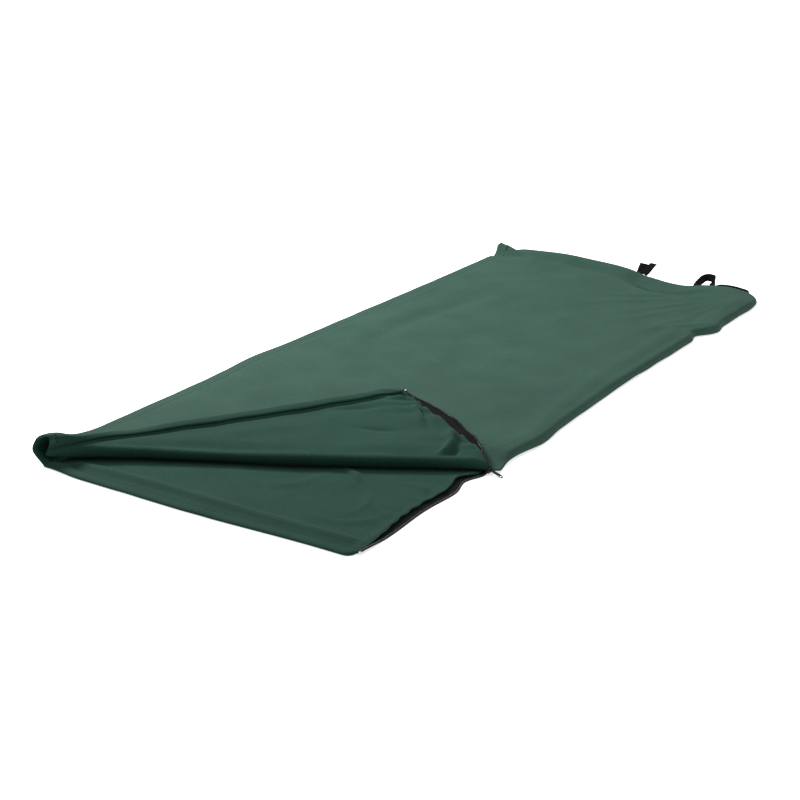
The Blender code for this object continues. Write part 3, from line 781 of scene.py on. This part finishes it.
# a coil's height, its pitch, and the points of a turn and of its wire: where it shows, and inside the edge
OPEN_COIL = (0.0016, 0.0018, 8, 5)
CLOSED_COIL = (0.0014, 0.0030, 6, 4)
RUN_NEAR = (FOOT - FOOT_RADIUS) - (HEAD + ZIP_START)
RUN_ARC = FOOT_RADIUS * math.pi / 2
RUN_FOOT = (FAR - ZIP_END) - (NEAR + FOOT_RADIUS)
RUN_OPEN = OPEN_END - (HEAD + ZIP_START)
RUN = RUN_NEAR + RUN_ARC + RUN_FOOT


def sewn_line(run):
    """A point of the zipped outline and the direction out of it, this far from the zip's head end."""
    turn = np.clip((run - RUN_NEAR) / FOOT_RADIUS, 0, math.pi / 2)
    x = HEAD + ZIP_START + np.minimum(run, RUN_NEAR) + FOOT_RADIUS * np.sin(turn)
    y = NEAR + FOOT_RADIUS * (1 - np.cos(turn)) + np.maximum(run - RUN_NEAR - RUN_ARC, 0)
    return x, y, np.sin(turn), -np.cos(turn)


def zip_point(run, inside, z):
    x, y, dx, dy = sewn_line(run)
    px, py = shifted(x, y)
    return np.stack([px - dx * inside, py - dy * inside, z + 0 * px], -1)


def room(run):
    """How much of the usual height the closed zip has under the upper layer."""
    x, y, _, _ = sewn_line(run)
    return np.clip((top_height(x, y) - 0.0035) / 0.0155, 0.25, 1.0)


def ribbon(name, line_a, line_b, share=None):
    """The zip's tape between two edge lines."""
    across = line_b - line_a
    up = unit(np.cross(np.gradient(line_a, axis=0), across))
    h = up * TAPE_THICK / 2
    rings = [line_a - h, line_a + across * 0.25 - h, line_a + across * 0.75 - h, line_b - h,
             line_b + h, line_a + across * 0.75 + h, line_a + across * 0.25 + h, line_a + h]
    if share is not None:
        share = np.repeat(share[:, None], len(rings), 1)
    return outward(tube_from(name, np.stack(rings, 1), (M_TAPE,), share))


def lengths_along(path):
    """The distance along a path at each of its points."""
    return np.concatenate([[0], np.cumsum(np.linalg.norm(np.diff(path, axis=0), axis=1))])


def coil(name, path, across, kind, share=None):
    """The zip's coil: a spiral of flattened turns along the path. across is the direction of its width."""
    tall, pitch, around, sides = kind
    along = lengths_along(path)
    turns = int(along[-1] / pitch)
    at = np.linspace(0, along[-1], turns * around)
    p = np.stack([np.interp(at, along, path[:, i]) for i in range(3)], 1)
    c = unit(np.stack([np.interp(at, along, across[:, i]) for i in range(3)], 1))
    lead = unit(np.gradient(p, axis=0))
    up = np.cross(lead, c)
    phase = at / pitch * 2 * math.pi
    line = p + c * (COIL_WIDE / 2 * np.cos(phase))[:, None] + up * (tall / 2 * np.sin(phase))[:, None]
    t = unit(np.gradient(line, axis=0))
    u = unit(np.cross(t, lead))
    v = np.cross(t, u)
    ring = np.linspace(0, 2 * math.pi, sides, endpoint=False)
    spoke = np.cos(ring)[None, :, None] * u[:, None] + np.sin(ring)[None, :, None] * v[:, None]
    rings = line[:, None] + COIL_WIRE * spoke
    if share is not None:
        share = np.repeat(np.interp(at, along, share)[:, None], sides, 1)
    return tube_from(name, rings, (M_COIL,), share)


def joined(name, pieces):
    """One object of several."""
    first = pieces[0]
    with bpy.context.temp_override(active_object=first, selected_editable_objects=pieces, object=first):
        bpy.ops.object.join()
    first.name = name
    return first


UP = np.array([0.0, 0.0, 1.0])

# lower tape: on its edge at the head corner, flat beside the open lower layer, upright inside the closed edge
run = np.concatenate([np.linspace(0, RUN_OPEN + 0.04, 130)[:-1], np.linspace(RUN_OPEN + 0.04, RUN, 320)])
k = room(run)
shut = smooth((run - RUN_OPEN + 0.02) / 0.04)
stand = np.clip(1 - smooth(run / 0.09), 0, 1)
deep = 0.007 + 0.022 * smooth(run / 0.14)
inner_in = deep * (1 - shut) + 0.012 * shut
inner_z = (0.0012 + 0.0022 * stand + 0.0004 * np.sin(60 * run)) * (1 - shut) + 0.0040 * k * shut
outer_in = -0.0010 * (1 - shut) + 0.0035 * shut
outer_z = (0.0014 + 0.0056 * stand) * (1 - shut) + 0.0080 * k * shut
tape = ribbon("lower_zip_tape", zip_point(run, inner_in, inner_z), zip_point(run, outer_in, outer_z))
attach(tape, "base")
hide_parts("lower_tape")


def run_across(run):
    _, _, dx, dy = sewn_line(run)
    return np.stack([dx, dy, 0 * dx], -1)


open_run, closed_run = run[run <= RUN_OPEN - 0.004], run[run >= RUN_OPEN - 0.004]
on_tape = zip_point(open_run, 0.0010, np.interp(open_run, run, outer_z) + 0.0012)
in_edge = zip_point(closed_run, 0.0035, 0.0088 * room(closed_run))
teeth = joined("lower_zip_coil", [coil("lower_open", on_tape, run_across(open_run), OPEN_COIL),
                                  coil("lower_closed", in_edge, run_across(closed_run), CLOSED_COIL)])
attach(teeth, "base")
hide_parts("lower_chain")

# upper tape: upright inside the closed edge; near the foot corner it shows above the cloth's foot edge
k = room(closed_run)
fx, fy, _, _ = sewn_line(closed_run)
peek = smooth((closed_run - RUN_NEAR - RUN_ARC * 0.6) / 0.03) * (1 - smooth((fy + 0.265) / 0.03))
rim_z = top_height(fx, fy)
low = zip_point(closed_run, 0.0035 - 0.0035 * peek, 0.0106 * k)
high = zip_point(closed_run, 0.0100 - 0.0125 * peek, 0.0150 * k * (1 - peek) + (rim_z + 0.0026) * peek)
tape = ribbon("upper_zip_tape", low, high)
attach(tape, "cover")
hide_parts("upper_tape")
in_edge = zip_point(closed_run, 0.0035 - 0.0035 * peek, 0.0104 * k)
teeth = coil("upper_zip_coil", in_edge, run_across(closed_run), CLOSED_COIL)
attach(teeth, "cover")
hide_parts("upper_chain")

# the turned corner's tape: beyond the cloth's puckered edge, with its coil outermost
INTO = np.array([ALONG[1], -ACROSS[1]])  # from the zip edge into the cloth, along and across the crease
wz = np.linspace(0.004, CORNER_OUT - 0.004, 190)
zip_edge = np.stack([CREASE - END_SLANT * wz, wz], 1)
part = wz / CORNER_OUT
far_out = -0.011 * smooth((part - 0.05) / 0.30) * (1 - smooth((part - 0.60) / 0.36)) - 0.002
far_in = 0.010 + 0.012 * smooth(part / 0.3) * (1 - 0.5 * smooth((part - 0.8) / 0.2))


def calmed(line, size=31):
    """The line without its short waves."""
    pad = size // 2
    longer = np.concatenate([2 * line[0] - line[pad:0:-1], line, 2 * line[-1] - line[-2:-pad - 2:-1]])
    weights = np.hanning(size + 2)[1:-1]
    return np.stack([np.convolve(longer[:, i], weights / weights.sum(), "valid") for i in range(3)], 1)


def on_corner(inward, off):
    """Points beside the turned corner's zip edge, and their distance across the crease."""
    p = zip_edge + INTO * np.reshape(inward, (-1, 1))
    at = corner_point(p[:, 0], p[:, 1])
    return at + np.reshape(off, (-1, 1)) * normal_of(corner_point, p[:, 0], p[:, 1]), p[:, 1]


line_in, _ = on_corner(far_in, -0.0022)
line_out, w_out = on_corner(far_out, -0.0012)
line_in, line_out = calmed(line_in), calmed(line_out)
share = unroll_corner(line_out, w_out)
tape = ribbon("corner_zip_tape", line_in, line_out, share)
bend(tape)
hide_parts("flap_tape")
line_coil = line_out + (line_in - line_out) * 0.08 + UP * 0.0012
teeth = coil("corner_zip_coil", line_coil, line_out - line_in, OPEN_COIL, share)
bend(teeth)
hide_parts("flap_chain")


def stop_clip(name, at, lead, side, long, wide, tall):
    """A metal stop crimped round the end of the coil: a short block with rounded sides and ends."""
    lead, side = unit(lead), unit(side)
    up = np.cross(lead, side)
    rings = []
    for t, grow in ((-0.5, 0.72), (-0.42, 0.95), (0, 1.0), (0.42, 0.95), (0.5, 0.72)):
        ring = []
        for q in np.linspace(0, 2 * math.pi, 12, endpoint=False):
            cy = abs(math.cos(q)) ** 0.5 * np.sign(math.cos(q))
            cz = abs(math.sin(q)) ** 0.5 * np.sign(math.sin(q))
            ring.append(at + lead * long * t + side * wide / 2 * grow * cy + up * tall / 2 * grow * cz)
        rings.append(ring)
    return outward(tube_from(name, np.array(rings), (M_NICKEL,)))


coil_end = line_coil[-4]
clip = stop_clip("corner_top_stop", coil_end + UP * 0.0006, coil_end - line_coil[-8],
                 (line_out - line_in)[-4], 0.0032, 0.0044, 0.0030)
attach(clip, "corner")
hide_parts("upper_top_stop")

for name, m in (("slider_body", M_GUN), ("slider_bridge", M_GUN), ("pull_tab", M_GUN),
                ("lower_top_stop", M_NICKEL), ("end_stop", M_NICKEL)):
    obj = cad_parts[name]
    obj.data.materials.clear()
    obj.data.materials.append(m)

# the bright rivet at the free end of the pull
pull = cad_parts["pull_tab"]
at = points_of(pull) @ np.array(pull.matrix_world)[:3, :3].T + np.array(pull.matrix_world)[:3, 3]
hinge = np.array([OPEN_END, NEAR])
reach = np.hypot(*(at[:, :2] - hinge).T)
tip = at[reach > reach.max() - 0.0010].mean(axis=0)
lead = unit(np.append(tip[:2] - hinge, 0))
centre = tip - lead * 0.0032 + UP * 0.0006
ring = np.linspace(0, 2 * math.pi, 20, endpoint=False)
out = lead * np.cos(ring)[:, None] + np.cross(UP, lead) * np.sin(ring)[:, None]
profile = ((0.0012, -0.0016), (0.0026, -0.0016), (0.0032, -0.0008), (0.0032, 0.0008), (0.0026, 0.0017),
           (0.0012, 0.0019))
rings = np.stack([centre + out * r + UP * h for r, h in profile])
rivet = outward(tube_from("pull_rivet", rings, (M_NICKEL,)))
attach(rivet, "pull")

# ---------------------------------------------------------------- webbing loops at the foot

WEB = 0.0014  # thickness of the webbing
FLAT_WIDE, OPEN_WIDE = 0.0250, 0.0200


def strap(name, path, across, wide):
    """Webbing along a path. across is the direction of its width at each point, and its edges are rounded."""
    path, across = np.asarray(path, float), np.asarray(across, float)
    fine = np.linspace(0, 1, 60)
    own = np.linspace(0, 1, len(path))
    p = np.stack([through(fine, *zip(own, path[:, i])) for i in range(3)], 1)
    c = np.stack([np.interp(fine, own, across[:, i]) for i in range(3)], 1)
    lead = unit(np.gradient(p, axis=0))
    c = unit(c - lead * (c * lead).sum(1, keepdims=True))
    up = np.cross(lead, c)
    half = wide / 2
    section = [(-half, -0.3), (-half + 0.001, -0.5), (0, -0.5), (half - 0.001, -0.5), (half, -0.3),
               (half, 0.3), (half - 0.001, 0.5), (0, 0.5), (-half + 0.001, 0.5), (-half, 0.3)]
    rings = np.stack([p + c * u + up * (h * WEB) for u, h in section], 1)
    return outward(tube_from(name, rings, (M_WEB,)))


flat_y = -0.034
under_web = strap("flat_under", [(0.8995, flat_y, 0.0120), (0.906, flat_y + 0.002, 0.0150),
                                 (0.917, flat_y + 0.003, 0.0240), (0.930, flat_y + 0.004, 0.0325)],
                  [(0.05, 1, 0), (0, 1, 0), (-0.15, 1, 0.02), (-0.25, 1, 0.05)], FLAT_WIDE)
over_web = strap("flat_over", [(0.8995, flat_y - 0.008, 0.0135), (0.907, flat_y - 0.011, 0.0175),
                               (0.920, flat_y - 0.016, 0.0270), (0.934, flat_y - 0.020, 0.0360)],
                 [(0, 1, 0), (0.1, 1, 0), (0.3, 1, -0.05), (0.45, 1, -0.08)], FLAT_WIDE)
flat_loop = joined("flat_webbing_loop", [under_web, over_web])
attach(flat_loop, "flat_loop")
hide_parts("foot_loop_flat")
open_loop = strap("open_webbing_loop", [(0.892, -0.200, 0.0100), (0.915, -0.196, 0.0130),
                                        (0.938, -0.196, 0.0165), (0.952, -0.206, 0.0190),
                                        (0.950, -0.222, 0.0185), (0.930, -0.233, 0.0150),
                                        (0.894, -0.238, 0.0110)],
                  [(0, 1, 0), (0, 1, 0.2), (0.2, 0.9, 0.5), (0.5, 0.3, 1), (0.2, 0, 1), (0, 0, 1),
                   (0, 0.3, 1)], OPEN_WIDE)
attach(open_loop, "open_loop")
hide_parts("foot_loop_open")

# ---------------------------------------------------------------- stitching

STITCH_PITCH, STITCH_LONG, THREAD = 0.0042, 0.0030, 0.00045


def stitches(name, surface, points, height, share=None):
    """A row of lockstitches, each a short thread that dips into the cloth at both ends. points are places in
    the cloth's own coordinates, and height is how far off its middle the thread lies."""
    at = surface(points[:, 0], points[:, 1])
    off = normal_of(surface, points[:, 0], points[:, 1])
    along = lengths_along(at)
    count = int(along[-1] / STITCH_PITCH)
    verts, faces, shares = [], [], []
    ring = np.linspace(0, 2 * math.pi, 5, endpoint=False)
    for i in range(count):
        middle = (i + 0.5) * STITCH_PITCH
        spots = middle + np.array([-0.5, -0.35, 0.0, 0.35, 0.5]) * STITCH_LONG
        c = np.stack([np.interp(spots, along, at[:, j]) for j in range(3)], 1)
        n = np.stack([np.interp(spots, along, off[:, j]) for j in range(3)], 1)
        side = np.cross(n, unit(c[-1] - c[0]))
        c = c + n * (height + np.array([-0.0007, 0.0, 0.0003, 0.0, -0.0007]))[:, None]
        first = len(verts) * 5
        for q in range(5):
            verts.append(c[q] + THREAD * (np.cos(ring)[:, None] * side[q] + np.sin(ring)[:, None] * n[q]))
            shares.append(np.full(5, np.interp(middle, along, share) if share is not None else 0))
        for q in range(4):
            for k in range(5):
                m = first + q * 5
                faces.append((m + k, m + (k + 1) % 5, m + 5 + (k + 1) % 5, m + 5 + k))
    shares = np.concatenate(shares) if share is not None else None
    return make(name, np.concatenate(verts), faces, (M_THREAD,), shares)


line, into = head_edge(170, NEAR + 0.012, JOIN)
row = stitches("bottom_hem_stitches", bottom_point, line + into * HEM_ROW, HEM_FACE)
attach(row, "base")
row = stitches("corner_hem_stitches", corner_point, starts + inward * HEM_ROW, HEM_FACE,
               unroll_corner(corner_point(starts[:, 0], starts[:, 1]), starts[:, 1]))
bend(row)
t = np.linspace(HEAD + 0.03, OPEN_END - 0.02, 160)
line = np.stack([t, NEAR + open_inset(t) + 0.004], 1)
row = stitches("lower_tape_stitches", bottom_point, line, SKIN + 0.0002)
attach(row, "base")
line = zip_edge[8:-6] + INTO * np.reshape(zip_gap(wz[8:-6]) + 0.004, (-1, 1))
row = stitches("corner_tape_stitches", corner_point, line, SKIN + 0.0002, share[8:-6])
bend(row)


# ---------------------------------------------------------------- stage, light and camera

def area(name, at, aim, size, power):
    """A round white lamp."""
    data = bpy.data.lights.new(name, "AREA")
    data.shape, data.size, data.energy = "DISK", size, power
    light = bpy.data.objects.new(name, data)
    bpy.context.scene.collection.objects.link(light)
    light.location = at
    light.rotation_euler = (Vector(aim) - Vector(at)).to_track_quat("-Z", "Y").to_euler()


floor_material, nodes, links, bsdf = material("pale_floor")
cloudy = node(nodes, "ShaderNodeTexNoise", Scale=2.0, Detail=2.0)
links.new(nodes.new("ShaderNodeTexCoord").outputs["Object"], cloudy.inputs["Vector"])
pale = ramp(nodes, links, cloudy.outputs["Fac"], ((0.3, (0.90, 0.90, 0.90)), (0.7, (0.93, 0.93, 0.93))))
links.new(pale, bsdf.inputs["Base Color"])
bsdf.inputs["Roughness"].default_value = 0.9
bsdf.inputs["Specular IOR Level"].default_value = 0.1
bsdf.inputs["Emission Color"].default_value = (1, 1, 1, 1)
bsdf.inputs["Emission Strength"].default_value = 0.68
WIDE = 60.0
square = [(-WIDE, -WIDE, 0), (WIDE, -WIDE, 0), (WIDE, WIDE, 0), (-WIDE, WIDE, 0)]
floor = make("floor", square, [(0, 1, 2, 3)], (floor_material,))

world = bpy.context.scene.world or bpy.data.worlds.new("world")
bpy.context.scene.world = world
world.use_nodes = True
back = world.node_tree.nodes["Background"]
back.inputs["Color"].default_value = (1, 1, 1, 1)
back.inputs["Strength"].default_value = 0.42
area("key", (0.30, 2.2, 1.9), (0.0, 0.0, 0.0), 0.9, 138)
area("fill", (0.3, -0.3, 2.4), (0.1, 0.0, 0.0), 1.2, 26)

camera = bpy.data.objects.new("camera", bpy.data.cameras.new("camera"))
bpy.context.scene.collection.objects.link(camera)
camera.location = (-3.240, -2.058, 1.402)
camera.rotation_euler = (math.radians(90 - 20.94), 0, math.radians(-56.01))
camera.data.sensor_width, camera.data.lens = 36.0, 81.0
camera.data.clip_end = 400
bpy.context.scene.camera = camera
bpy.context.scene.view_settings.view_transform = "Standard"
